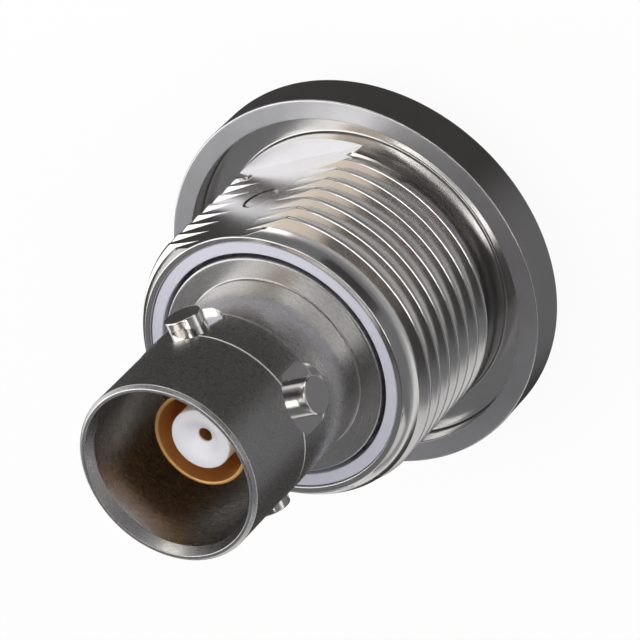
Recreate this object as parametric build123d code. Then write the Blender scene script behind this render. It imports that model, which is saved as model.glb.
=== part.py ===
from build123d import *
import math
import os

# Panel-mounting triaxial jack, standing on its tail with the mating end up.
# The origin is on the axis at the tail's end. The housing's flat faces +Y.

# Running and seating clearance between nested turned pieces, on the radius
fit = 0.02

# Stack behind the flange, from the tail's end up to the flange's back face
tail_past_nut = 1.5
nut_t = 2.3
lock_washer_t = 0.5
solder_lug_t = 0.4
flat_washer_t = 0.5
rear_flange_t = 0.8

# Housing: flange, seal groove, plain land, thread, flat and lead-in
flange_d = 20.66
flange_t = 2.35
groove_w = 1.26
groove_depth = 1.17
barrel_len = 8.74
thread_d = 15.875
land_d = 16.0
land_len = 0.42
lead_in_len = 1.37
lead_in_depth = 0.79
flat_depth = 0.94
flat_overrun = 0.33
flat_wall = 0.15

# Insulating bushes between the housing and the shell
ring_wall = 0.63
ring_set = 0.1
bush_step = 0.95
bush_gap = 0.2
rear_flange_d = 14.8

# Pin that keys the front bush, in the housing's flat
key_pin_d = 1.95
key_pin_set = 4.77
key_pin_recess = 0.04
key_depth = 0.6
key_edge = 0.35

# Shell: mating barrel, lugs in their milled pockets, collar and tail
shell_d = 9.65
shell_wall = 0.625
shell_reach = 10.83
rim_edge_w = 0.225
rim_edge_len = 0.25
mouth_lead_w = 0.25
mouth_lead_len = 0.5
cavity_depth = 9.0
rib_t = 1.0
rib_step = 0.4
lug_count = 4
lug_d = 1.94
lug_stand = 0.625
lug_set = 6.2
pocket_d = 3.5
pocket_depth = 0.245
collar_gap = 0.2
collar_t = 2.0
collar_set = 0.04
tail_d = 9.0
tail_wall = 0.6

# Middle conductor: gold-plated tube with a trapped collar and a solder trough
middle_d = 5.04
middle_wall = 0.2
middle_set = 3.4
middle_collar_d = 6.0
middle_collar_t = 1.0
middle_tail_set = 1.2
middle_trough_len = 2.4

# Insulators between the shell and the middle conductor, and their ring
outer_insulator_len = 6.0
outer_bead_len = 5.0
shell_ring_t = 1.2
shell_ring_wall = 0.6
ring_notch_w = 0.9
ring_notch_depth = 0.5

# White insulator inside the middle conductor
nose_d = 3.2
nose_reach = 6.0
dimple_d = 2.0
dimple_depth = 0.5
pin_hole_d = 0.9
pin_hole_len = 0.12
inner_body_len = 5.0
inner_bead_len = 6.0

# Centre conductor: slotted socket, trapped collar, solder cup
socket_d = 1.6
socket_bore_d = 0.84
socket_bore_len = 4.0
socket_slot_w = 0.16
socket_slot_len = 3.0
centre_collar_d = 2.6
centre_collar_t = 0.8
centre_tail_set = 2.0
cup_bore_d = 1.0
cup_depth = 2.0
cup_cut_len = 1.5

# Clamping hardware on the tail
washer_d = 12.6
lock_ring_d = 11.6
lock_ring_wall = 0.75
lock_tooth_count = 8
lock_tooth_w = 1.1
lug_ring_d = 11.8
tongue_angle = 208.5
tongue_w = 3.2
tongue_reach = 10.6
wire_hole_d = 1.6
wire_hole_edge = 1.6
nut_af = 11.0
nut_edge_deg = 30

# Heights worked out from the stack
nut_z = tail_past_nut
lock_washer_z = nut_z + nut_t
solder_lug_z = lock_washer_z + lock_washer_t
flat_washer_z = solder_lug_z + solder_lug_t
rear_bush_z = flat_washer_z + flat_washer_t
flange_z = rear_bush_z + rear_flange_t
seat_z = flange_z + flange_t
front_z = seat_z + barrel_len
rim_z = front_z + shell_reach
key_z = front_z - key_pin_set
shoulder_z = key_z + key_pin_d / 2 + key_edge
front_bush_end_z = key_z - key_pin_d / 2 - key_edge
collar_top_z = front_z - collar_set
collar_z = collar_top_z - collar_t
rib_z = rim_z - cavity_depth - rib_t
middle_front_z = rim_z - middle_set
middle_collar_z = rib_z - outer_insulator_len
shell_ring_z = middle_collar_z - outer_bead_len - shell_ring_t
inner_back_z = middle_front_z - nose_reach - inner_body_len
socket_z = middle_front_z - dimple_depth - pin_hole_len

# Radii worked out from the fits
thread_r = thread_d / 2
land_r = land_d / 2
flat_y = thread_r - flat_depth
housing_bore_r = flat_y - flat_wall
bush_bore_r = housing_bore_r - bush_step
bush_r = housing_bore_r - fit
sleeve_r = bush_bore_r - fit
cup_r = bush_r - ring_wall
collar_r = cup_r - collar_gap
tail_r = tail_d / 2
shell_r = shell_d / 2
shell_bore_r = shell_r - shell_wall
tail_bore_r = tail_r - tail_wall
rib_r = tail_bore_r - rib_step
pocket_floor = shell_r - pocket_depth
lug_tip = shell_r + lug_stand
middle_r = middle_d / 2
middle_bore_r = middle_r - middle_wall
socket_r = socket_d / 2


def turned(*points):
    """Turned piece about Z, from the (radius, height) points of its half section."""
    return revolve(make_face(Plane.XZ * Polyline(*points, close=True)), Axis.Z)


def ring(inner_r, outer_r, low, high):
    """Plain ring between two radii and two heights."""
    return turned((inner_r, low), (outer_r, low), (outer_r, high), (inner_r, high))


def radial_rod(angle, height, diameter, start, end):
    """Round rod along a radius, between two distances from the axis."""
    direction = (math.cos(math.radians(angle)), math.sin(math.radians(angle)), 0)
    across = (-direction[1], direction[0], 0)
    place = Plane(origin=(0, 0, height), x_dir=across, z_dir=direction)
    return place * Pos(0, 0, (start + end) / 2) * Cylinder(diameter / 2, end - start)


def radial_block(angle, width, start, end, low, high):
    """Block along a radius, between two distances from the axis and two heights."""
    block = Pos((start + end) / 2, 0, (low + high) / 2) * Box(end - start, width, high - low)
    return Rot(0, 0, angle) * block


def bulkhead_housing():
    """Threaded barrel with its flat, on a flange with an open seal groove."""
    groove_z = seat_z - groove_depth
    barrel = turned(
        (0, groove_z),
        (land_r, groove_z),
        (land_r, seat_z + land_len),
        (thread_r, seat_z + land_len),
        (thread_r, front_z - lead_in_len),
        (thread_r - lead_in_depth, front_z),
        (0, front_z),
    )
    flat_z = seat_z - flat_overrun
    beyond = thread_d + barrel_len
    barrel -= Pos(0, flat_y + beyond / 2, flat_z + beyond / 2) * Box(beyond, beyond, beyond)
    flange_r = flange_d / 2
    groove_r = land_r + groove_w
    flange = turned(
        (0, flange_z),
        (flange_r, flange_z),
        (flange_r, seat_z),
        (groove_r, seat_z),
        (groove_r, groove_z),
        (0, groove_z),
    )
    bores = turned(
        (0, flange_z),
        (bush_bore_r, flange_z),
        (bush_bore_r, shoulder_z),
        (housing_bore_r, shoulder_z),
        (housing_bore_r, front_z),
        (0, front_z),
    )
    pin_hole = radial_rod(90, key_z, key_pin_d, 0, thread_r)
    return barrel + flange - bores - pin_hole


def key_pin():
    """Round pin pressed in the flat, its tip in the front insulator."""
    tip = bush_bore_r - key_depth
    return radial_rod(90, key_z, key_pin_d - 2 * fit, tip, flat_y - key_pin_recess)


def front_insulator():
    """Cup around the shell's collar, on a sleeve that lines the housing's web."""
    ring_z = front_z - ring_set
    bush = turned(
        (tail_r + fit, front_bush_end_z),
        (sleeve_r, front_bush_end_z),
        (sleeve_r, shoulder_z),
        (bush_r, shoulder_z),
        (bush_r, ring_z),
        (cup_r, ring_z),
        (cup_r, collar_z),
        (tail_r + fit, collar_z),
    )
    key_hole = radial_rod(90, key_z, key_pin_d, bush_bore_r - key_depth - fit, thread_r)
    return bush - key_hole


def rear_insulator():
    """Bush with its flange on the housing's back, its sleeve reaching towards the front one."""
    flange_r = rear_flange_d / 2
    return turned(
        (tail_r + fit, rear_bush_z),
        (flange_r, rear_bush_z),
        (flange_r, flange_z),
        (sleeve_r, flange_z),
        (sleeve_r, front_bush_end_z - bush_gap),
        (tail_r + fit, front_bush_end_z - bush_gap),
    )


def jack_shell():
    """Outer conductor: mating barrel, collar and tail turned in one, with milled lug pockets."""
    edge_w = min(rim_edge_w, 0.36 * shell_wall)
    lead_w = min(mouth_lead_w, 0.4 * shell_wall)
    body = turned(
        (tail_bore_r, 0),
        (tail_r, 0),
        (tail_r, collar_z),
        (collar_r, collar_z),
        (collar_r, collar_top_z),
        (shell_r, collar_top_z),
        (shell_r, rim_z - rim_edge_len),
        (shell_r - edge_w, rim_z),
        (shell_bore_r + lead_w, rim_z),
        (shell_bore_r, rim_z - mouth_lead_len),
        (shell_bore_r, rib_z + rib_t),
        (rib_r, rib_z + rib_t),
        (rib_r, rib_z),
        (tail_bore_r, rib_z),
    )
    lug_z = rim_z - lug_set
    lug_root = (shell_bore_r + pocket_floor) / 2
    for i in range(lug_count):
        angle = i * 360 / lug_count
        body -= radial_rod(angle, lug_z, pocket_d, pocket_floor, lug_tip)
        body += radial_rod(angle, lug_z, lug_d, lug_root, lug_tip)
    return body


def outer_dielectric():
    """Insulator against the shell's rib, counterbored for the middle conductor's collar."""
    collar_bore_r = middle_collar_d / 2 + fit
    collar_top = middle_collar_z + middle_collar_t
    return turned(
        (collar_bore_r, middle_collar_z),
        (tail_bore_r - fit, middle_collar_z),
        (tail_bore_r - fit, rib_z),
        (middle_r + fit, rib_z),
        (middle_r + fit, collar_top),
        (collar_bore_r, collar_top),
    )


def outer_rear_bead():
    """Insulator that traps the middle conductor's collar from behind."""
    return ring(middle_r + fit, tail_bore_r - fit, middle_collar_z - outer_bead_len, middle_collar_z)


def shell_retaining_ring():
    """Ring in the tail's bore, with two notches for its key."""
    outer_r = tail_bore_r - fit
    body = ring(outer_r - shell_ring_wall, outer_r, shell_ring_z, shell_ring_z + shell_ring_t)
    notch_top = shell_ring_z + ring_notch_depth
    return body - Pos(0, 0, (shell_ring_z + notch_top) / 2) * Box(
        3 * outer_r, ring_notch_w, notch_top - shell_ring_z
    )


def intermediate_contact():
    """Tube with a thin front lip, a collar and a solder trough at its back."""
    tube = turned(
        (middle_bore_r, middle_tail_set),
        (middle_r, middle_tail_set),
        (middle_r, middle_collar_z),
        (middle_collar_d / 2, middle_collar_z),
        (middle_collar_d / 2, middle_collar_z + middle_collar_t),
        (middle_r, middle_collar_z + middle_collar_t),
        (middle_r, middle_front_z),
        (middle_bore_r, middle_front_z),
    )
    trough_top = middle_tail_set + middle_trough_len
    return tube - radial_block(90, middle_d, 0, middle_d, middle_tail_set, trough_top)


def inner_dielectric():
    """White insulator: dimpled nose, wider body behind, bored for the socket."""
    body_r = middle_bore_r - fit
    bore_r = socket_r + fit
    collar_bore_r = centre_collar_d / 2 + fit
    collar_top = inner_back_z + centre_collar_t
    nose_base_z = middle_front_z - nose_reach
    hole_r = pin_hole_d / 2
    return turned(
        (collar_bore_r, inner_back_z),
        (body_r, inner_back_z),
        (body_r, nose_base_z),
        (nose_d / 2, nose_base_z),
        (nose_d / 2, middle_front_z),
        (dimple_d / 2, middle_front_z),
        (hole_r, middle_front_z - dimple_depth),
        (hole_r, socket_z),
        (bore_r, socket_z),
        (bore_r, collar_top),
        (collar_bore_r, collar_top),
    )


def inner_rear_bead():
    """Insulator that traps the centre conductor's collar from behind."""
    return ring(socket_r + fit, middle_bore_r - fit, inner_back_z - inner_bead_len, inner_back_z)


def centre_contact():
    """Socket with two slots, a collar, and a solder cup cut away on one side."""
    collar_r = centre_collar_d / 2
    body = turned(
        (0, centre_tail_set),
        (socket_r, centre_tail_set),
        (socket_r, inner_back_z),
        (collar_r, inner_back_z),
        (collar_r, inner_back_z + centre_collar_t),
        (socket_r, inner_back_z + centre_collar_t),
        (socket_r, socket_z),
        (0, socket_z),
    )
    bore = ring(0, socket_bore_d / 2, socket_z - socket_bore_len, socket_z)
    cup = ring(0, cup_bore_d / 2, centre_tail_set, centre_tail_set + cup_depth)
    slot = Pos(0, 0, socket_z - socket_slot_len / 2) * Box(socket_slot_w, 2 * socket_d, socket_slot_len)
    side = radial_block(90, socket_d, 0, socket_d, centre_tail_set, centre_tail_set + cup_cut_len)
    return body - bore - cup - slot - side


def flat_washer():
    """Plain washer under the rear insulator."""
    return ring(tail_r + 2 * fit, washer_d / 2, flat_washer_z, rear_bush_z)


def solder_lug():
    """Flat tag: a ring on the tail with a round-ended tongue and a wire hole."""
    across = (solder_lug_z + flat_washer_z) / 2
    low = solder_lug_z
    high = flat_washer_z
    tip = tongue_reach - tongue_w / 2
    hole_at = tongue_reach - wire_hole_edge
    disc = Pos(0, 0, across) * Cylinder(lug_ring_d / 2, solder_lug_t)
    tongue = radial_block(tongue_angle, tongue_w, 0, tip, low, high)
    end = Rot(0, 0, tongue_angle) * Pos(tip, 0, across) * Cylinder(tongue_w / 2, solder_lug_t)
    hole = Rot(0, 0, tongue_angle) * Pos(hole_at, 0, across) * Cylinder(wire_hole_d / 2, solder_lug_t)
    bore = Pos(0, 0, across) * Cylinder(tail_r + 2 * fit, solder_lug_t)
    return disc + tongue + end - hole - bore


def lock_washer():
    """Spring washer with teeth on its inside."""
    outer_r = lock_ring_d / 2
    inner_r = outer_r - lock_ring_wall
    body = ring(inner_r, outer_r, lock_washer_z, solder_lug_z)
    for i in range(lock_tooth_count):
        angle = (i + 0.5) * 360 / lock_tooth_count
        body += radial_block(angle, lock_tooth_w, tail_r, (inner_r + outer_r) / 2, lock_washer_z, solder_lug_z)
    return body - Pos(0, 0, (lock_washer_z + solder_lug_z) / 2) * Cylinder(tail_r + 2 * fit, 2 * lock_washer_t)


def rear_nut():
    """Hexagon nut, its outer face turned to a chamfer at the corners."""
    flat_r = nut_af / 2
    corner_r = flat_r / math.cos(math.radians(30))
    edge = (corner_r - flat_r) * math.tan(math.radians(nut_edge_deg))
    prism = Pos(0, 0, nut_z) * extrude(RegularPolygon(corner_r, 6), nut_t)
    blank = turned(
        (tail_r + fit, nut_z),
        (flat_r, nut_z),
        (corner_r, nut_z + edge),
        (corner_r, nut_z + nut_t),
        (tail_r + fit, nut_z + nut_t),
    )
    return prism & blank


pieces = {
    "bulkhead_housing": bulkhead_housing,
    "key_pin": key_pin,
    "front_insulator": front_insulator,
    "rear_insulator": rear_insulator,
    "jack_shell": jack_shell,
    "outer_dielectric": outer_dielectric,
    "outer_rear_bead": outer_rear_bead,
    "shell_retaining_ring": shell_retaining_ring,
    "intermediate_contact": intermediate_contact,
    "inner_dielectric": inner_dielectric,
    "inner_rear_bead": inner_rear_bead,
    "centre_contact": centre_contact,
    "flat_washer": flat_washer,
    "solder_lug": solder_lug,
    "lock_washer": lock_washer,
    "rear_nut": rear_nut,
}

os.makedirs("parts", exist_ok=True)
for name, make in pieces.items():
    export_step(make(), f"parts/{name}.step")
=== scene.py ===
import math

import bmesh
import bpy
from mathutils import Matrix, Vector

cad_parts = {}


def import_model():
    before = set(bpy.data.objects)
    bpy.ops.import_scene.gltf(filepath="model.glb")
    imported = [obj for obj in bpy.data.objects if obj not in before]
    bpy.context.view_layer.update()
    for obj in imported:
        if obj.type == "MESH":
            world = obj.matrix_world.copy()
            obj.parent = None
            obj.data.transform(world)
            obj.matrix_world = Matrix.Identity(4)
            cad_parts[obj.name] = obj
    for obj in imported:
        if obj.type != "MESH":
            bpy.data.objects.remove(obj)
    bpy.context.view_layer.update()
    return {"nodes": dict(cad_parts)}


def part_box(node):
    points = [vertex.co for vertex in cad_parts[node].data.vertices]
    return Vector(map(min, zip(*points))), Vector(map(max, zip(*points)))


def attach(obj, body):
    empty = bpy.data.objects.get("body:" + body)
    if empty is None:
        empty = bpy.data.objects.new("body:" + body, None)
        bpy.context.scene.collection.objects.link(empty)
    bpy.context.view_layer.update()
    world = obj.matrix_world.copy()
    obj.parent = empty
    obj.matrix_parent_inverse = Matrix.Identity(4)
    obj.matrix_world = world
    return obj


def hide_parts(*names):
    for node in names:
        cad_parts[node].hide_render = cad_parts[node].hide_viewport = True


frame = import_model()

# Every length below is in millimetres and becomes metres with this factor
MM = 0.001

# The photograph's camera
CAMERA_AZIMUTH = 27.164
CAMERA_ELEVATION = 48.942
CAMERA_ROLL = -135.712
CAMERA_DISTANCE = 249.923
CAMERA_AIM = (0.0442, -0.0861, 12.0968)
CAMERA_LENS = 281.25
SENSOR_WIDTH = 36.0

# Columns in one turn of a turned mesh: panel thread, large pieces, small ones, pin and its hole
FINE_COLUMNS = 600
COLUMNS = 360
SMALL_COLUMNS = 144
PIN_COLUMNS = 128
PIN_HOLE_COLUMNS = 96

# Degrees from an added column within which no regular column is kept
COLUMN_GAP = 0.25

# Rounded corners: usual size, steps, least size, and the most of a side that one takes
EDGE = 0.05
EASE_STEPS = 4
LEAST_EDGE = 0.004
EDGE_SHARE = 0.4

# Narrow strip beside a rounded corner, which keeps long faces evenly shaded, and the most of
# a side that a corner takes with its strip
STRIP = 0.04
STRIP_SHARE = 0.45

# Angle between two faces from which the edge between them is shaded sharp
SHARP_ANGLE = math.radians(29)

# Distance under which two points count as one
WELD = 1e-4

# How far a cutting tool reaches past what it cuts
BEYOND = 1

# Turns added at both ends of a thread, so that each of its columns has as many points
SPARE_TURNS = 2

# Colours of the room above the horizon and overhead
WORLD_ABOVE = (0.2, 0.2, 0.21)
WORLD_TOP = (0.085, 0.07, 0.058)

# Sines of the elevations between which the horizon's white and the room's colour fade upward
HORIZON_FADE = (0.06, 0.2)
TOP_FADE = (0.75, 0.93)

# Azimuth where the horizon is dim too, the cosines between which it dims, and what it keeps
DIM_AZIMUTH = -25
DIM_FADE = (-0.15, 0.3)
DIM_LEAST = 0.3

# Azimuth where the dark cards of the painted reflections are paler, the cosines between which they
# turn pale, and colours
PALE_AZIMUTH = -27
PALE_FADE = (0.6, 1.0)
CARD_DARK = (0.065, 0.063, 0.062)
CARD_PALE = (0.22, 0.22, 0.23)

# Floor: the share that renders as pure white and keeps no shadow, its colour and its radius
FLOOR_WHITE = 0.92
FLOOR_COLOUR = (0.92, 0.92, 0.92)
FLOOR_R = 1500

# Steps of the round outlines of the floor and its card
ROUND_STEPS = 96


def corners(node):
    """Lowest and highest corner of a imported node, in millimetres."""
    low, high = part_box(node)
    return low / MM, high / MM


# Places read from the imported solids
housing_low, housing_high = corners("bulkhead_housing")
pin_low, pin_high = corners("key_pin")
front_bush_low, front_bush_high = corners("front_insulator")
rear_bush_low, rear_bush_high = corners("rear_insulator")
shell_high = corners("jack_shell")[1]
tube_low, tube_high = corners("intermediate_contact")
nose_low, nose_high = corners("inner_dielectric")
socket_low, socket_high = corners("centre_contact")
washer_low, washer_high = corners("flat_washer")
tag_low, tag_high = corners("solder_lug")
lock_low, lock_high = corners("lock_washer")
nut_low, nut_high = corners("rear_nut")

# Clearance on the radius between nested pieces, and the heights of the main faces
fit = 0.02
flange_z = housing_low.z
front_z = housing_high.z
rim_z = shell_high.z
key_z = (pin_low.z + pin_high.z) / 2

# Housing
flange_t = 2.35
flange_edge = 0.1
groove_w = 1.26
groove_depth = 1.17
groove_fillet = 0.12
groove_edge = 0.06
flat_azimuth = 90
flat_overrun = 0.33
flat_depth = 0.94
web_r = 5.8975
housing_bore_r = 6.8475
housing_bore_edge = 0.07
lead_in_len = 1.37
lead_in_depth = 0.79
lead_in_edge = 0.04
lead_in_slope = math.tan(math.radians(22))
thread_end_gap = 0.1
shoulder_above_key = 1.325
key_pin_d = 1.95

# Panel thread, 24 to the inch
thread_r = 15.875 / 2
thread_pitch = 25.4 / 24
thread_crest_w = 0.13
thread_crest_edge = 0.05
thread_phase = 28.5
thread_crest_z = 12.447
thread_start = 0.42
land_r = 8.0
land_step_len = 0.3
thread_fade = 0.35
flank_slope = math.tan(math.radians(60))

# Where a flank meets the flat: rounds of the search, the least share of the thread's depth
# that it counts with, and the distance that its row keeps
crossing_rounds = 3
crossing_least_share = 0.1
crossing_gap = 0.003

# Shell
shell_r = 4.825
shell_bore_r = 4.2
rim_edge_w = 0.17
rim_edge_len = 0.19
mouth_lead_w = 0.3
mouth_lead_len = 0.55
cavity_depth = 9.0
rib_t = 1.0
rib_r = 3.5
lug_count = 4
lug_d = 1.94
lug_stand = 0.625
lug_set = 6.2
lug_edge = 0.08
pocket_d = 3.5
pocket_depth = 0.245
band_low = 7.3
band_high = 5.0
band_stand = 0.035
band_edge = 0.075
collar_r = 5.9975
collar_t = 2.0
collar_set = 0.04
collar_edge = 0.13
collar_gap = 0.2
tail_r = 4.5
tail_bore_r = 3.9
tail_thread_pitch = 0.6
tail_thread_crest_w = 0.08
tail_thread_crest_edge = 0.0
tail_thread_len = 5.0
tail_lead_len = 0.3

# Points that one turn of each thread adds to a column
thread_turn_rows = 11
tail_thread_turn_rows = 3

# Ring round the end of the key pin
key_ring_w = 0.13
key_ring_depth = 0.15

# Places worked out from the sizes
seat_z = flange_z + flange_t
groove_z = seat_z - groove_depth
groove_r = land_r + groove_w
flat_y = thread_r - flat_depth
flat_z = seat_z - flat_overrun
thread_z = seat_z + thread_start
cone_z = front_z - lead_in_len
lead_in_bend = (lead_in_depth - lead_in_slope * lead_in_len) / lead_in_len**4
shoulder_z = key_z + shoulder_above_key
collar_top_z = front_z - collar_set
collar_z = collar_top_z - collar_t
lug_z = rim_z - lug_set
rib_z = rim_z - cavity_depth - rib_t


def eased(points, size=EDGE):
    """A closed outline with its corners rounded. A third value in a point is its own size."""
    outline = []
    for i, point in enumerate(points):
        here = Vector(point[:2])
        back = Vector(points[i - 1][:2]) - here
        ahead = Vector(points[(i + 1) % len(points)][:2]) - here
        wanted = point[2] if len(point) > 2 else size
        reach = min(wanted, EDGE_SHARE * back.length, EDGE_SHARE * ahead.length)
        if reach < LEAST_EDGE:
            outline.append(here)
            continue
        start = here + back.normalized() * reach
        end = here + ahead.normalized() * reach
        outline.append(here + back.normalized() * min(reach + STRIP, STRIP_SHARE * back.length))
        for step in range(EASE_STEPS + 1):
            t = step / EASE_STEPS
            outline.append((1 - t) ** 2 * start + 2 * t * (1 - t) * here + t * t * end)
        outline.append(here + ahead.normalized() * min(reach + STRIP, STRIP_SHARE * ahead.length))
    return outline


def finish_mesh(piece):
    """Merges what coincides, turns the faces outward and shades round surfaces smooth."""
    work = bmesh.new()
    work.from_mesh(piece.data)
    bmesh.ops.remove_doubles(work, verts=work.verts, dist=WELD * MM)
    bmesh.ops.dissolve_degenerate(work, edges=work.edges, dist=WELD * MM)
    loose = [edge for edge in work.edges if not edge.link_faces]
    bmesh.ops.delete(work, geom=loose, context="EDGES")
    bmesh.ops.recalc_face_normals(work, faces=work.faces)
    work.to_mesh(piece.data)
    work.free()
    shade(piece)


def shade(piece):
    """Smooth faces with sharp edges where two surfaces meet."""
    piece.data.polygons.foreach_set("use_smooth", [True] * len(piece.data.polygons))
    piece.data.set_sharp_from_angle(angle=SHARP_ANGLE)
    piece.data.update()


def turned(name, column, columns=COLUMNS, thread_rows=0, rows_per_turn=0, extra_angles=()):
    """Piece turned about Z. column(angle) gives the section's (radius, height) points at an angle.

    The first thread_rows points of a column belong to a thread, which climbs by rows_per_turn
    points in one turn. Columns are added at extra_angles.
    """
    regular = {i * 360 / columns for i in range(columns)}
    crowded = {a for a in regular if any(abs(a - extra) < COLUMN_GAP for extra in extra_angles)}
    angles = sorted((regular - crowded) | set(extra_angles))
    sections = [column(angle) for angle in angles]
    count = len(sections[0])
    vertices = []
    for angle, section in zip(angles, sections):
        along = math.cos(math.radians(angle))
        across = math.sin(math.radians(angle))
        vertices += [(r * along * MM, r * across * MM, z * MM) for r, z in section]

    def following(i, row):
        if i + 1 < len(angles):
            return (i + 1) * count + row
        if row < thread_rows:
            return min(row + rows_per_turn, thread_rows - 1)
        return row

    faces = []
    for i in range(len(angles)):
        for row in range(count):
            above = (row + 1) % count
            faces.append((i * count + row, following(i, row), following(i, above), i * count + above))
    mesh = bpy.data.meshes.new(name)
    mesh.from_pydata(vertices, [], faces)
    piece = bpy.data.objects.new(name, mesh)
    bpy.context.scene.collection.objects.link(piece)
    finish_mesh(piece)
    return piece


def lathe(name, points, columns=COLUMNS, size=EDGE):
    """Piece turned about Z from one eased section."""
    section = eased(points, size)
    return turned(name, lambda angle: section, columns)


def block(name, size, centre):
    """Box used as a cutting tool."""
    mesh = bpy.data.meshes.new(name)
    work = bmesh.new()
    bmesh.ops.create_cube(work, size=1.0)
    bmesh.ops.scale(work, vec=Vector(size) * MM, verts=work.verts)
    bmesh.ops.translate(work, vec=Vector(centre) * MM, verts=work.verts)
    work.to_mesh(mesh)
    work.free()
    tool = bpy.data.objects.new(name, mesh)
    bpy.context.scene.collection.objects.link(tool)
    return tool


def radial(piece, angle, height):
    """Lays a piece that was turned about Z along a radius."""
    turn = Matrix.Rotation(math.radians(angle), 4, "Z") @ Matrix.Rotation(math.radians(90), 4, "Y")
    piece.data.transform(Matrix.Translation((0, 0, height * MM)) @ turn)
    return piece


def around(piece, count):
    """Repeats a piece's mesh evenly about the axis."""
    work = bmesh.new()
    for i in range(count):
        copy = piece.data.copy()
        copy.transform(Matrix.Rotation(math.radians(i * 360 / count), 4, "Z"))
        work.from_mesh(copy)
        bpy.data.meshes.remove(copy)
    work.to_mesh(piece.data)
    work.free()
    return piece


def combine(piece, tool, operation):
    """Applies an exact boolean of the tool to the piece, and removes the tool."""
    change = piece.modifiers.new("combine", "BOOLEAN")
    change.operation = operation
    change.solver = "EXACT"
    change.object = tool
    bpy.context.view_layer.update()
    graph = bpy.context.evaluated_depsgraph_get()
    result = bpy.data.meshes.new_from_object(piece.evaluated_get(graph))
    piece.modifiers.clear()
    piece.data = result
    bpy.data.objects.remove(tool)
    shade(piece)
    return piece


def dress(piece, node, material):
    """Puts a finished piece in the part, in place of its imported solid."""
    piece.data.materials.clear()
    piece.data.materials.append(material)
    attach(piece, "root")
    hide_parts(node)
    return piece


def face_finish_and_highlight(piece, material, height):
    """Gives the faces that look forward at a height a finish of their own, whose brighter colour is a
    painted highlight.
    """
    margin = 0.03
    least_forward = 0.9
    piece.data.materials.append(material)
    for face in piece.data.polygons:
        at_height = abs(face.center.z / MM - height) < margin
        if at_height and face.normal.z > least_forward:
            face.material_index = len(piece.data.materials) - 1


def lug_finish_and_highlight(shell, material):
    """Gives the lugs and the floors of their pockets a smoother finish, with a brighter colour that
    is a painted highlight.
    """
    margin = 0.02
    shell.data.materials.append(material)
    for face in shell.data.polygons:
        x, y, z = face.center / MM
        out = max(abs(x), abs(y))
        aside = min(abs(x), abs(y))
        in_pocket = math.hypot(aside, z - lug_z) < pocket_d / 2
        if in_pocket and out > shell_r - pocket_depth - margin:
            face.material_index = len(shell.data.materials) - 1


def thread_radius(major, pitch, crest_w, edge, lead, fade):
    """Radius of a 60 degree thread with rounded crest edges.

    lead is the height past a crest, and fade is the thread's share of its full depth.
    """
    past = abs((lead / pitch + 0.5) % 1 - 0.5) * pitch - crest_w / 2
    if abs(past) < edge:
        return major - (past + edge) ** 2 / (4 * edge) * flank_slope * fade
    return major - max(0.0, past) * flank_slope * fade


def flat_radius(angle):
    """Radius that the flat leaves of the housing's plain land."""
    facing = math.cos(math.radians(angle - flat_azimuth))
    return min(land_r, flat_y / max(facing, flat_y / land_r))


def lead_in(z):
    """Depth and slope of the lead-in at a height. Near the front it curves in."""
    past = max(0.0, z - cone_z)
    bend = lead_in_bend * past**3
    return past * (lead_in_slope + bend), lead_in_slope + 4 * bend


def thread_share(z):
    """Share of its full depth that the thread has at a height."""
    return min(1.0, max(0.0, (z - thread_z) / thread_fade))


def housing_radius(angle, z):
    """Radius of the threaded barrel at an angle and a height."""
    crest = thread_crest_z + thread_pitch * (angle - thread_phase) / 360
    thread = thread_radius(
        thread_r, thread_pitch, thread_crest_w, thread_crest_edge, z - crest, thread_share(z)
    )
    return min(flat_radius(angle), thread_r - lead_in(z)[0], thread)


def crossing(angle, crest, side):
    """Where a flank meets the flat or the lead-in, as a height past its crest."""
    half = thread_crest_w / 2
    cut = (thread_r - flat_radius(angle)) / flank_slope
    at_flat = half + cut
    for _ in range(crossing_rounds):
        at_flat = half + cut / max(crossing_least_share, thread_share(crest + side * at_flat))
    depth, slope = lead_in(crest)
    at_lead_in = (depth + half * flank_slope) / (flank_slope - side * slope) if depth else 0.0
    reach = max(half + thread_crest_edge, at_flat, at_lead_in)
    return side * min(reach + crossing_gap, thread_pitch / 2 - crossing_gap)


def thread_rows(angle, low, high):
    """Points of the threaded barrel at an angle, from its low end to its high end."""
    first = math.floor((low - thread_crest_z) / thread_pitch) - SPARE_TURNS
    last = math.ceil((high - thread_crest_z) / thread_pitch) + SPARE_TURNS
    half = thread_crest_w / 2
    heights = []
    for turn in range(first, last + 1):
        crest = thread_crest_z + thread_pitch * (turn + (angle - thread_phase) / 360)
        round_off = [half + thread_crest_edge * share for share in (1, 1 / 3, -1 / 3, -1)]
        behind = [-thread_pitch / 2, crossing(angle, crest, -1)] + [-offset for offset in round_off]
        past = behind + round_off[::-1] + [crossing(angle, crest, 1)]
        heights += [min(high, max(low, crest + offset)) for offset in past]
    return [(housing_radius(angle, z), z) for z in heights]


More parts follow.
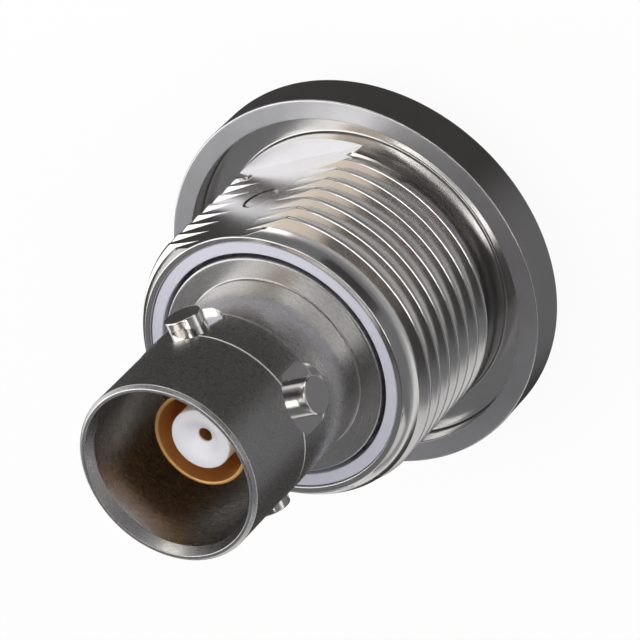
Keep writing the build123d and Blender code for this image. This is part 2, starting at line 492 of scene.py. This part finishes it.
def bulkhead_housing():
    """Threaded barrel with its flat and lead-in, on the flange with the seal groove."""
    flange_r = housing_high.x
    thread_end_z = front_z - thread_end_gap
    rest = eased(
        [
            (thread_r - lead_in(thread_end_z)[0], thread_end_z, 0),
            (thread_r - lead_in_depth, front_z, lead_in_edge),
            (housing_bore_r, front_z, housing_bore_edge),
            (housing_bore_r, shoulder_z),
            (web_r, shoulder_z),
            (web_r, flange_z),
            (flange_r, flange_z, flange_edge),
            (flange_r, seat_z, flange_edge),
            (groove_r, seat_z, groove_edge),
            (groove_r, groove_z, groove_fillet),
            (land_r, groove_z, groove_fillet),
            (land_r, flat_z, 0),
        ]
    )[1:]

    def column(angle):
        land = flat_radius(angle)
        low_land = [(land, flat_z), (land, thread_z - land_step_len)]
        return thread_rows(angle, thread_z, thread_end_z) + rest + low_land

    rows = len(thread_rows(0, thread_z, thread_end_z))
    edges = [math.degrees(math.acos(flat_y / radius)) for radius in (thread_r, land_r)]
    piece = turned(
        "bulkhead_housing_threaded",
        column,
        FINE_COLUMNS,
        thread_rows=rows,
        rows_per_turn=thread_turn_rows,
        extra_angles=[flat_azimuth + side * edge for edge in edges for side in (-1, 1)],
    )
    return combine(piece, key_pin_hole(web_r - BEYOND, thread_r + BEYOND), "DIFFERENCE")


def key_pin_hole(start, end):
    """Tool for the key pin's hole, between two distances from the axis."""
    hole = lathe("pin_hole", rod(key_pin_d / 2, start, end), PIN_HOLE_COLUMNS, size=0)
    return radial(hole, flat_azimuth, key_z)


def rod(radius, start, end, end_edge=0.0):
    """Section of a round rod from one height to another."""
    return [(0, start, 0), (radius, start, 0), (radius, end, end_edge), (0, end, 0)]


def key_pin():
    """Pin that ends just below the flat, with a fine ring round its end."""
    ring_edge = 0.02
    radius = key_pin_d / 2 - fit
    section = [
        (0, pin_low.y, 0),
        (radius, pin_low.y),
        (radius, pin_high.y - key_ring_depth, ring_edge),
        (radius - key_ring_w, pin_high.y - key_ring_depth, ring_edge),
        (radius - key_ring_w, pin_high.y, ring_edge),
        (0, pin_high.y, 0),
    ]
    return radial(lathe("key_pin_flush", section, PIN_COLUMNS), flat_azimuth, key_z)


def front_insulator():
    """Cup around the shell's collar, with the hole for the key pin in its sleeve."""
    cup_edge = 0.08
    cup_r = collar_r + collar_gap
    sleeve_r = web_r - fit
    section = [
        (tail_r + fit, front_bush_low.z),
        (sleeve_r, front_bush_low.z),
        (sleeve_r, shoulder_z),
        (front_bush_high.x, shoulder_z),
        (front_bush_high.x, front_bush_high.z, cup_edge),
        (cup_r, front_bush_high.z, cup_edge),
        (cup_r, collar_z),
        (tail_r + fit, collar_z),
    ]
    piece = lathe("front_insulator_moulded", section)
    return combine(piece, key_pin_hole(pin_low.y - fit, thread_r), "DIFFERENCE")


def rear_insulator():
    """Flanged bush behind the housing's flange."""
    sleeve_r = web_r - fit
    section = [
        (tail_r + fit, rear_bush_low.z),
        (rear_bush_high.x, rear_bush_low.z, 0.1),
        (rear_bush_high.x, flange_z, 0.06),
        (sleeve_r, flange_z, 0),
        (sleeve_r, rear_bush_high.z),
        (tail_r + fit, rear_bush_high.z),
    ]
    return lathe("rear_insulator_moulded", section)


def tail_thread_rows(angle):
    """Points of the threaded tail at an angle, from its end up."""
    half = tail_thread_crest_w / 2
    low = 0.0
    high = tail_thread_len
    heights = []
    last = math.ceil(high / tail_thread_pitch) + SPARE_TURNS
    for turn in range(-SPARE_TURNS, last + 1):
        crest = tail_thread_pitch * (turn + angle / 360)
        past = (-tail_thread_pitch / 2, -half, half)
        heights += [min(high, max(low, crest + offset)) for offset in past]
    points = []
    for z in heights:
        fade = min(1.0, (high - z) / tail_thread_pitch)
        lead = z - tail_thread_pitch * angle / 360
        radius = thread_radius(
            tail_r, tail_thread_pitch, tail_thread_crest_w, tail_thread_crest_edge, lead, fade
        )
        points.append((min(radius, tail_r - max(0.0, tail_lead_len - z)), z))
    return points


def jack_shell():
    """Mating barrel with lugs in milled pockets, collar, and a threaded tail."""
    lug_tip = shell_r + lug_stand
    pocket_floor = shell_r - pocket_depth
    rest = eased(
        [
            (tail_r, tail_thread_len, 0),
            (tail_r, collar_z),
            (collar_r, collar_z),
            (collar_r, collar_top_z, collar_edge),
            (shell_r, collar_top_z, 0.09),
            (shell_r, rim_z - band_low, 0.03),
            (shell_r + band_stand, rim_z - band_low + band_edge, 0.03),
            (shell_r + band_stand, rim_z - band_high - band_edge, 0.03),
            (shell_r, rim_z - band_high, 0.03),
            (shell_r, rim_z - rim_edge_len, 0.04),
            (shell_r - rim_edge_w, rim_z, 0.04),
            (shell_bore_r + mouth_lead_w, rim_z, 0.03),
            (shell_bore_r, rim_z - mouth_lead_len, 0.05),
            (shell_bore_r, rib_z + rib_t),
            (rib_r, rib_z + rib_t),
            (rib_r, rib_z),
            (tail_bore_r, rib_z),
            (tail_bore_r, 0, 0.08),
        ]
    )

    def column(angle):
        return tail_thread_rows(angle) + rest

    rows = len(tail_thread_rows(0))
    piece = turned(
        "jack_shell_turned", column, thread_rows=rows, rows_per_turn=tail_thread_turn_rows
    )
    root = (shell_bore_r + pocket_floor) / 2
    pocket = rod(pocket_d / 2, pocket_floor, lug_tip + BEYOND)
    pockets = radial(lathe("pockets", pocket, SMALL_COLUMNS, size=0), 0, lug_z)
    combine(piece, around(pockets, lug_count), "DIFFERENCE")
    lug = rod(lug_d / 2, root, lug_tip, lug_edge)
    lugs = radial(lathe("lugs", lug, SMALL_COLUMNS, size=0), 0, lug_z)
    return combine(piece, around(lugs, lug_count), "UNION")


def intermediate_contact():
    """Gold tube with its front lip, a trapped collar and a solder trough."""
    wall = 0.2
    middle_r = 2.52
    middle_bore_r = middle_r - wall
    lip_edge = 0.09
    outer_insulator_len = 6.0
    tube_collar_z = rib_z - outer_insulator_len
    tube_collar_t = 1.0
    trough_len = 2.4
    tool_w = 8
    tool_reach = 5
    section = [
        (middle_bore_r, tube_low.z),
        (middle_r, tube_low.z),
        (middle_r, tube_collar_z),
        (tube_high.x, tube_collar_z),
        (tube_high.x, tube_collar_z + tube_collar_t),
        (middle_r, tube_collar_z + tube_collar_t),
        (middle_r, tube_high.z, lip_edge),
        (middle_bore_r, tube_high.z, lip_edge),
    ]
    piece = lathe("intermediate_contact_tube", section)
    size = (tool_w, tool_reach, 2 * trough_len)
    open_side = block("trough", size, (0, tool_reach / 2, tube_low.z))
    return combine(piece, open_side, "DIFFERENCE")


def inner_dielectric():
    """White nose with its dimple, the wider body behind it and the socket's bore."""
    nose_r = 1.6
    nose_len = 6.0
    dimple_r = 1.0
    dimple_depth = 0.5
    pin_hole_r = 0.37
    pin_hole_len = 0.12
    bore_r = 0.82
    trap_r = 1.32
    trap_len = 0.8
    front = nose_high.z
    socket_z = front - dimple_depth - pin_hole_len
    section = [
        (trap_r, nose_low.z),
        (nose_high.x, nose_low.z),
        (nose_high.x, front - nose_len, 0.1),
        (nose_r, front - nose_len, 0.15),
        (nose_r, front, 0.12),
        (dimple_r, front, 0.25),
        (pin_hole_r, front - dimple_depth, 0.2),
        (pin_hole_r, socket_z, 0.02),
        (bore_r, socket_z, 0),
        (bore_r, nose_low.z + trap_len),
        (trap_r, nose_low.z + trap_len),
    ]
    return lathe("inner_dielectric_nose", section)


def centre_contact():
    """Slotted socket with its collar and a solder cup."""
    socket_r = 0.8
    socket_bore_r = 0.42
    bore_len = 4.0
    slot_w = 0.16
    slot_len = 3.0
    cup_r = 0.5
    cup_depth = 2.0
    cup_cut_len = 1.5
    trap_t = 0.8
    tool_w = 4
    low = socket_low.z
    high = socket_high.z
    section = [
        (0, low + cup_depth, 0),
        (cup_r, low + cup_depth, 0.05),
        (cup_r, low, 0.03),
        (socket_r, low, 0.03),
        (socket_r, nose_low.z),
        (socket_high.x, nose_low.z),
        (socket_high.x, nose_low.z + trap_t),
        (socket_r, nose_low.z + trap_t),
        (socket_r, high, 0.06),
        (socket_bore_r, high, 0.12),
        (socket_bore_r, high - bore_len, 0),
        (0, high - bore_len, 0),
    ]
    piece = lathe("centre_contact_socket", section, SMALL_COLUMNS)
    slot = block("slot", (slot_w, tool_w, 2 * slot_len), (0, 0, high))
    combine(piece, slot, "DIFFERENCE")
    side = block("cup_side", (tool_w, tool_w / 2, 2 * cup_cut_len), (0, tool_w / 4, low))
    return combine(piece, side, "DIFFERENCE")


def flat_washer():
    """Plain washer, its edges rolled by stamping."""
    bore_r = tail_r + 2 * fit
    section = [
        (bore_r, washer_low.z, 0.05),
        (washer_high.x, washer_low.z, 0.05),
        (washer_high.x, washer_high.z, 0.15),
        (bore_r, washer_high.z, 0.05),
    ]
    return lathe("flat_washer_stamped", section)


def extruded(name, outline, low, high, edge):
    """Flat piece from a closed outline, with the edges of both faces bevelled."""
    work = bmesh.new()
    base = [work.verts.new((x * MM, y * MM, low * MM)) for x, y in outline]
    face = work.faces.new(base)
    lifted = bmesh.ops.extrude_face_region(work, geom=[face])
    top = [v for v in lifted["geom"] if isinstance(v, bmesh.types.BMVert)]
    bmesh.ops.translate(work, vec=(0, 0, (high - low) * MM), verts=top)
    rims = [e for e in work.edges if abs(e.verts[0].co.z - e.verts[1].co.z) < WELD * MM]
    bmesh.ops.bevel(work, geom=rims, offset=edge * MM, segments=2, affect="EDGES")
    bmesh.ops.recalc_face_normals(work, faces=work.faces)
    mesh = bpy.data.meshes.new(name)
    work.to_mesh(mesh)
    work.free()
    piece = bpy.data.objects.new(name, mesh)
    bpy.context.scene.collection.objects.link(piece)
    shade(piece)
    return piece


def solder_lug():
    """Stamped tag: a ring on the tail with a round-ended tongue and a wire hole."""
    ring_r = 5.9
    tongue_angle = 208.5
    tongue_w = 3.2
    tongue_reach = 10.6
    wire_hole_r = 0.8
    wire_hole_edge = 1.6
    ring_steps = 180
    end_steps = 32
    half = tongue_w / 2
    tip = tongue_reach - half
    meet = math.degrees(math.asin(half / ring_r))
    outline = []
    for step in range(ring_steps + 1):
        turn = math.radians(meet + step * (360 - 2 * meet) / ring_steps)
        outline.append((ring_r * math.cos(turn), ring_r * math.sin(turn)))
    for step in range(end_steps + 1):
        turn = math.radians(-90 + step * 180 / end_steps)
        outline.append((tip + half * math.cos(turn), half * math.sin(turn)))
    piece = extruded("solder_lug_stamped", outline, tag_low.z, tag_high.z, EDGE)
    for radius, along in ((tail_r + 2 * fit, 0), (wire_hole_r, tongue_reach - wire_hole_edge)):
        section = rod(radius, tag_low.z - BEYOND, tag_high.z + BEYOND)
        hole = lathe("hole", section, SMALL_COLUMNS, size=0)
        hole.data.transform(Matrix.Translation((along * MM, 0, 0)))
        combine(piece, hole, "DIFFERENCE")
    piece.data.transform(Matrix.Rotation(math.radians(tongue_angle), 4, "Z"))
    return piece


def lock_washer():
    """Spring washer with inner teeth, a little thinner than its ring."""
    tooth_count = 8
    tooth_w = 1.1
    tooth_thinning = 0.98
    overlap = 0.2
    ring_wall = 0.75
    outer_r = lock_high.x
    inner_r = outer_r - ring_wall
    tip_r = tail_r + 2 * fit
    thick = lock_high.z - lock_low.z
    section = [
        (inner_r, lock_low.z),
        (outer_r, lock_low.z),
        (outer_r, lock_high.z),
        (inner_r, lock_high.z),
    ]
    piece = lathe("lock_washer_toothed", section)
    root_r = inner_r + overlap
    size = (root_r - tip_r, tooth_w, thick * tooth_thinning)
    for i in range(tooth_count):
        angle = math.radians((i + 0.5) * 360 / tooth_count)
        tooth = block("tooth", size, ((tip_r + root_r) / 2, 0, 0))
        place = Matrix.Translation((0, 0, (lock_low.z + thick / 2) * MM))
        tooth.data.transform(place @ Matrix.Rotation(angle, 4, "Z"))
        combine(piece, tooth, "UNION")
    return piece


def rear_nut():
    """Hexagon nut, turned to a chamfer at the corners of its outer face."""
    chamfer = math.radians(30)
    bore_edge = 0.15
    face_edge = 0.03
    prism_edge = 0.01
    blank_margin = 0.05
    flat_r = nut_high.y
    corner_r = flat_r / math.cos(math.radians(30))
    blank_r = corner_r + blank_margin
    fall = (corner_r - flat_r) * math.tan(chamfer)
    bore_r = tail_r + fit
    blank = [
        (bore_r, nut_low.z, bore_edge),
        (flat_r, nut_low.z, face_edge),
        (blank_r, nut_low.z + fall, 0),
        (blank_r, nut_high.z, 0),
        (bore_r, nut_high.z, bore_edge),
    ]
    piece = lathe("rear_nut_hexagon", blank)
    outline = []
    for i in range(6):
        angle = math.radians(60 * i)
        outline.append((corner_r * math.cos(angle), corner_r * math.sin(angle)))
    prism = extruded("prism", outline, nut_low.z - BEYOND, nut_high.z + BEYOND, prism_edge)
    return combine(piece, prism, "INTERSECT")


def shorthands(tree):
    """Short ways to add nodes to a tree and to link them."""

    def add(kind, **values):
        node = tree.nodes.new(kind)
        for key, value in values.items():
            if key in node.inputs:
                node.inputs[key].default_value = value
            else:
                setattr(node, key, value)
        return node

    def link(source, target):
        tree.links.new(source, target)

    return add, link


def node_tree(name):
    """New material with a principled shader, and short ways to add and link nodes."""
    material = bpy.data.materials.new(name)
    material.use_nodes = True
    shader = material.node_tree.nodes["Principled BSDF"]
    return material, shader, *shorthands(material.node_tree)


def polar(add, link, stretch):
    """Radius, height and a little of the angle, so that a pattern runs round the axis."""
    place = add("ShaderNodeTexCoord")
    split = add("ShaderNodeSeparateXYZ")
    link(place.outputs["Object"], split.inputs[0])
    flat = add("ShaderNodeCombineXYZ")
    link(split.outputs["X"], flat.inputs["X"])
    link(split.outputs["Y"], flat.inputs["Y"])
    radius = add("ShaderNodeVectorMath", operation="LENGTH")
    link(flat.outputs[0], radius.inputs[0])
    along = add("ShaderNodeVectorMath", operation="NORMALIZE")
    link(flat.outputs[0], along.inputs[0])
    slow = add("ShaderNodeVectorMath", operation="SCALE")
    slow.inputs["Scale"].default_value = stretch * MM
    link(along.outputs[0], slow.inputs[0])
    base = add("ShaderNodeCombineXYZ")
    link(radius.outputs["Value"], base.inputs["X"])
    link(radius.outputs["Value"], base.inputs["Y"])
    link(split.outputs["Z"], base.inputs["Z"])
    total = add("ShaderNodeVectorMath", operation="ADD")
    link(base.outputs[0], total.inputs[0])
    link(slow.outputs[0], total.inputs[1])
    return total.outputs[0], place.outputs["Object"]


def ranged(add, link, source, low, high):
    """Maps a 0 to 1 pattern to another range."""
    change = add("ShaderNodeMapRange")
    change.inputs["To Min"].default_value = low
    change.inputs["To Max"].default_value = high
    link(source, change.inputs["Value"])
    return change.outputs["Result"]


def mixed(add, link, share, low, high):
    """Colour that goes from low to high as the share goes from 0 to 1."""
    mix = add("ShaderNodeMix", data_type="RGBA")
    mix.inputs["A"].default_value = (*low, 1)
    mix.inputs["B"].default_value = (*high, 1)
    link(share, mix.inputs["Factor"])
    return mix.outputs["Result"]


def noise(add, link, place, size_mm, **values):
    """Noise pattern with features of about this size."""
    pattern = add("ShaderNodeTexNoise", Scale=1 / (size_mm * MM), **values)
    link(place, pattern.inputs["Vector"])
    return pattern.outputs["Fac"]


def raise_surface(add, link, shader, height, depth_mm):
    """Gives a shader a relief of this depth from a 0 to 1 pattern."""
    bump = add("ShaderNodeBump", Strength=1.0, Distance=depth_mm * MM)
    link(height, bump.inputs["Height"])
    link(bump.outputs[0], shader.inputs["Normal"])


def fading(add, link, source, start, end, first=1.0, last=0.0):
    """The first value before start, going smoothly to the last value at end."""
    fall = add("ShaderNodeMapRange", interpolation_type="SMOOTHSTEP")
    fall.inputs["From Min"].default_value = start
    fall.inputs["From Max"].default_value = end
    fall.inputs["To Min"].default_value = first
    fall.inputs["To Max"].default_value = last
    link(source, fall.inputs["Value"])
    return fall.outputs["Result"]


def matt(shader):
    """Makes a shader matt, without a highlight."""
    shader.inputs["Roughness"].default_value = 0.9
    shader.inputs["Specular IOR Level"].default_value = 0.0


def plated(name, colour, shade_colour, rough, mark_mm, mark_depth_mm):
    """Plated turned metal: tool marks round the axis, fine grain and faint clouding."""
    round_stretch = 1.2
    grain_mm = 0.09
    grain_share = 0.1
    cloud_mm = 2.4
    material, shader, add, link = node_tree(name)
    around, place = polar(add, link, round_stretch)
    marks = noise(add, link, around, mark_mm, Detail=4.0, Roughness=0.6)
    grain = noise(add, link, place, grain_mm, Detail=3.0, Roughness=0.7)
    clouds = noise(add, link, place, cloud_mm, Detail=3.0, Roughness=0.55)
    cloud_share = ranged(add, link, clouds, 0.2, 1.3)
    link(mixed(add, link, cloud_share, shade_colour, colour), shader.inputs["Base Color"])
    both = add("ShaderNodeMath", operation="MULTIPLY_ADD")
    both.inputs[1].default_value = grain_share
    link(grain, both.inputs[0])
    link(marks, both.inputs[2])
    link(ranged(add, link, both.outputs[0], rough * 0.75, rough * 1.45), shader.inputs["Roughness"])
    raise_surface(add, link, shader, both.outputs[0], mark_depth_mm)
    shader.inputs["Metallic"].default_value = 1.0
    return material


def plastic(name, colour, shade_colour, rough, soft):
    """Moulded or turned insulator: faint mottling, fine texture and a little depth."""
    round_stretch = 1.0
    mottle_mm = 1.4
    texture_mm = 0.12
    texture_depth_mm = 0.003
    soft_mm = 0.3
    material, shader, add, link = node_tree(name)
    around, place = polar(add, link, round_stretch)
    mottle = noise(add, link, place, mottle_mm, Detail=4.0)
    link(mixed(add, link, mottle, shade_colour, colour), shader.inputs["Base Color"])
    texture = noise(add, link, around, texture_mm, Detail=3.0)
    link(ranged(add, link, texture, rough * 0.85, rough * 1.15), shader.inputs["Roughness"])
    raise_surface(add, link, shader, texture, texture_depth_mm)
    shader.inputs["Subsurface Weight"].default_value = soft
    shader.inputs["Subsurface Radius"].default_value = (1.0, 1.0, 1.0)
    shader.inputs["Subsurface Scale"].default_value = soft_mm * MM
    return material


# Plated metals: colour, shaded colour, roughness, and width and depth of the tool marks
housing_nickel = plated("housing_nickel", (0.66, 0.65, 0.64), (0.56, 0.55, 0.53), 0.15, 0.07, 0.0013)
# Faced nickel is rougher than the housing's, and its brighter colour is a painted highlight
faced_highlight_nickel = plated("faced_highlight_nickel", (0.80, 0.80, 0.83), (0.60, 0.60, 0.62), 0.34, 0.05, 0.003)
# Milled nickel is rougher still, and its near-white colour is a painted highlight
milled_highlight_nickel = plated("milled_highlight_nickel", (0.94, 0.94, 0.97), (0.84, 0.84, 0.88), 0.42, 0.05, 0.003)
shell_nickel = plated("shell_nickel", (0.60, 0.59, 0.58), (0.48, 0.47, 0.46), 0.25, 0.09, 0.0005)
# The lugs' nickel is smoother than the shell's, and its brighter colour is a painted highlight
lug_highlight_nickel = plated("lug_highlight_nickel", (0.80, 0.79, 0.77), (0.70, 0.69, 0.67), 0.12, 0.05, 0.0008)
hardware_nickel = plated("hardware_nickel", (0.64, 0.63, 0.60), (0.55, 0.54, 0.52), 0.28, 0.15, 0.002)
contact_gold = plated("contact_gold", (1.0, 0.63, 0.26), (1.0, 0.57, 0.20), 0.45, 0.08, 0.0014)

# Plastics: colour, shaded colour, roughness and the share of light that goes in
bush_plastic = plastic("bush_plastic", (0.66, 0.665, 0.75), (0.62, 0.625, 0.72), 0.45, 0.15)
white_insulator = plastic("white_insulator", (0.86, 0.86, 0.90), (0.82, 0.82, 0.87), 0.4, 0.2)

housing = dress(bulkhead_housing(), "bulkhead_housing", housing_nickel)
face_finish_and_highlight(housing, faced_highlight_nickel, seat_z)
face_finish_and_highlight(housing, milled_highlight_nickel, flat_z)
dress(key_pin(), "key_pin", housing_nickel)
dress(front_insulator(), "front_insulator", bush_plastic)
dress(rear_insulator(), "rear_insulator", bush_plastic)
shell = dress(jack_shell(), "jack_shell", shell_nickel)
lug_finish_and_highlight(shell, lug_highlight_nickel)
dress(intermediate_contact(), "intermediate_contact", contact_gold)
dress(inner_dielectric(), "inner_dielectric", white_insulator)
dress(centre_contact(), "centre_contact", contact_gold)
dress(flat_washer(), "flat_washer", hardware_nickel)
dress(solder_lug(), "solder_lug", hardware_nickel)
dress(lock_washer(), "lock_washer", hardware_nickel)
dress(rear_nut(), "rear_nut", hardware_nickel)

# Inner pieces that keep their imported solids
carried = {
    "outer_dielectric": white_insulator,
    "outer_rear_bead": white_insulator,
    "inner_rear_bead": white_insulator,
    "shell_retaining_ring": hardware_nickel,
}
for node, material in carried.items():
    data = frame["nodes"][node].data
    data.materials.clear()
    data.materials.append(material)


def level(azimuth):
    """Level unit vector at an azimuth in degrees."""
    turn = math.radians(azimuth)
    return Vector((math.cos(turn), math.sin(turn), 0))


def facing_axes(azimuth, elevation):
    """Unit vectors from the part to a place at these degrees, and to the side and top there."""
    lift = math.radians(elevation)
    away = level(azimuth) * math.cos(lift) + Vector((0, 0, math.sin(lift)))
    side = level(azimuth + 90)
    return away, side, away.cross(side)


def half_size(angle, distance):
    """Half the size of what is seen at an angle in degrees from a distance."""
    return distance * math.tan(math.radians(angle / 2))


def camera():
    """Camera at the photograph's viewing angle."""
    roll = math.radians(CAMERA_ROLL)
    back, side, top = facing_axes(CAMERA_AZIMUTH, CAMERA_ELEVATION)
    right = side * math.cos(roll) + top * math.sin(roll)
    up = back.cross(right)
    data = bpy.data.cameras.new("camera")
    data.lens = CAMERA_LENS
    data.sensor_width = SENSOR_WIDTH
    view = bpy.data.objects.new("camera", data)
    axes = Matrix((right, up, back)).transposed().to_4x4()
    place = (Vector(CAMERA_AIM) + back * CAMERA_DISTANCE) * MM
    view.matrix_world = Matrix.Translation(place) @ axes
    bpy.context.scene.collection.objects.link(view)
    bpy.context.scene.camera = view


def seen_white(add, link):
    """One for the rays that show the background: camera, glossy and transmission rays."""
    path = add("ShaderNodeLightPath")
    first = add("ShaderNodeMath", operation="MAXIMUM")
    link(path.outputs["Is Camera Ray"], first.inputs[0])
    link(path.outputs["Is Glossy Ray"], first.inputs[1])
    second = add("ShaderNodeMath", operation="MAXIMUM")
    link(first.outputs[0], second.inputs[0])
    link(path.outputs["Is Transmission Ray"], second.inputs[1])
    return second.outputs[0]


def floor():
    """Plain white floor that keeps a soft shadow."""
    mesh = bpy.data.meshes.new("floor")
    work = bmesh.new()
    bmesh.ops.create_circle(work, cap_ends=True, segments=ROUND_STEPS, radius=FLOOR_R * MM)
    work.to_mesh(mesh)
    work.free()
    sweep = bpy.data.objects.new("floor", mesh)
    bpy.context.scene.collection.objects.link(sweep)
    material, shader, add, link = node_tree("floor")
    shader.inputs["Base Color"].default_value = (*FLOOR_COLOUR, 1)
    matt(shader)
    white = add("ShaderNodeEmission", Color=(1, 1, 1, 1), Strength=1.0)
    share = add("ShaderNodeMath", operation="MULTIPLY")
    share.inputs[1].default_value = FLOOR_WHITE
    link(seen_white(add, link), share.inputs[0])
    mix = add("ShaderNodeMixShader")
    link(share.outputs[0], mix.inputs["Fac"])
    link(shader.outputs[0], mix.inputs[1])
    link(white.outputs[0], mix.inputs[2])
    output = next(n for n in material.node_tree.nodes if n.type == "OUTPUT_MATERIAL")
    link(mix.outputs[0], output.inputs["Surface"])
    mesh.materials.append(material)


def painted_reflection_material():
    """Matt dark card for the painted dark reflections, paler on one side of the part."""
    material, shader, add, link = node_tree("painted_reflection_dark")
    place = add("ShaderNodeTexCoord")
    aside = add("ShaderNodeVectorMath", operation="NORMALIZE")
    link(place.outputs["Object"], aside.inputs[0])
    facing = add("ShaderNodeVectorMath", operation="DOT_PRODUCT")
    facing.inputs[1].default_value = level(PALE_AZIMUTH)
    link(aside.outputs[0], facing.inputs[0])
    share = fading(add, link, facing.outputs["Value"], *PALE_FADE, first=0.0, last=1.0)
    link(mixed(add, link, share, CARD_DARK, CARD_PALE), shader.inputs["Base Color"])
    matt(shader)
    return material


def card(name, vertices, material):
    """Flat dark card seen only in reflections: a painted dark reflection, which the camera doesn't
    see and which casts no shadow.
    """
    mesh = bpy.data.meshes.new(name)
    mesh.from_pydata([Vector(v) * MM for v in vertices], [], [tuple(range(len(vertices)))])
    mesh.materials.append(material)
    piece = bpy.data.objects.new(name, mesh)
    bpy.context.scene.collection.objects.link(piece)
    piece.visible_camera = False
    piece.visible_diffuse = False
    piece.visible_shadow = False


def sector(inner, outer, height):
    """Points of a flat ring on the floor, cut open along one radius."""
    points = []
    for radius, way in ((outer, 1), (inner, -1)):
        for step in range(ROUND_STEPS + 1):
            turn = way * math.tau * step / ROUND_STEPS
            points.append((radius * math.cos(turn), radius * math.sin(turn), height))
    return points


def aimed_square(azimuth, elevation, wide, high, distance=300):
    """Corners of a flat card aimed at the part. Its sides are angles seen from the part."""
    away, side, top = facing_axes(azimuth, elevation)
    middle = Vector(CAMERA_AIM) + away * distance
    side = side * half_size(wide, distance)
    top = top * half_size(high, distance)
    return [middle - side - top, middle + side - top, middle + side + top, middle - side + top]


def softbox(name, azimuth, elevation, wide, high, radiance, colour=(1, 1, 1), distance=500):
    """Rectangular lamp aimed at the part. Its width and height are angles seen from the part."""
    data = bpy.data.lights.new(name, "AREA")
    data.shape = "RECTANGLE"
    data.size = 2 * half_size(wide, distance) * MM
    data.size_y = 2 * half_size(high, distance) * MM
    data.color = colour
    data.energy = radiance * math.pi * data.size * data.size_y
    lamp = bpy.data.objects.new(name, data)
    away, side, top = facing_axes(azimuth, elevation)
    axes = Matrix((side, top, away)).transposed().to_4x4()
    place = (Vector(CAMERA_AIM) + away * distance) * MM
    lamp.matrix_world = Matrix.Translation(place) @ axes
    lamp.visible_camera = False
    bpy.context.scene.collection.objects.link(lamp)
    return lamp


def world():
    """White at the horizon, but dim above it and behind the camera, like a sweep in a dim room."""
    sky = bpy.data.worlds.new("studio")
    sky.use_nodes = True
    add, link = shorthands(sky.node_tree)
    place = add("ShaderNodeTexCoord")
    split = add("ShaderNodeSeparateXYZ")
    link(place.outputs["Generated"], split.inputs[0])
    facing = add("ShaderNodeVectorMath", operation="DOT_PRODUCT")
    facing.inputs[1].default_value = level(DIM_AZIMUTH)
    link(place.outputs["Generated"], facing.inputs[0])
    share = add("ShaderNodeMath", operation="MULTIPLY")
    link(fading(add, link, split.outputs["Z"], *HORIZON_FADE), share.inputs[0])
    dimming = fading(add, link, facing.outputs["Value"], *DIM_FADE, last=DIM_LEAST)
    link(dimming, share.inputs[1])
    lowness = fading(add, link, split.outputs["Z"], *TOP_FADE)
    room = mixed(add, link, lowness, WORLD_TOP, WORLD_ABOVE)
    mix = add("ShaderNodeMix", data_type="RGBA")
    mix.inputs["B"].default_value = (1, 1, 1, 1)
    link(room, mix.inputs["A"])
    link(share.outputs[0], mix.inputs["Factor"])
    link(mix.outputs["Result"], sky.node_tree.nodes["Background"].inputs["Color"])
    bpy.context.scene.world = sky


camera()
floor()
world()

# Painted dark reflections: cards that only the metal's reflections show. The angles of the two raised
# cards are seen from the part.
dark = painted_reflection_material()
card("floor_painted_reflection", sector(inner=10.4, outer=75, height=0.02), dark)
card("camera_side_painted_reflection", aimed_square(CAMERA_AZIMUTH, 31, wide=44, high=22), dark)
card("side_painted_reflection", aimed_square(-52, 57, wide=34, high=18), dark)

# Lamps: azimuth, elevation, width and height in degrees, then radiance
softbox("key", 146, 50, 40, 44, 1.55, distance=75)
softbox("left", 164, 18, 30, 20, 2.2)
softbox("warm", 106, 57, 30, 24, 0.8, (1.0, 0.86, 0.7))
softbox("low", 90, 6, 24, 12, 1.5, (1.0, 0.94, 0.86))
softbox("edge", CAMERA_AZIMUTH, 57, 70, 8, 4.0)
softbox("right", -96, 26, 40, 24, 0.6)
fill = softbox("fill", CAMERA_AZIMUTH, CAMERA_ELEVATION, 60, 60, 1.6)
fill.visible_glossy = False

# The view setting that the photograph's colours need
bpy.context.scene.view_settings.view_transform = "Standard"
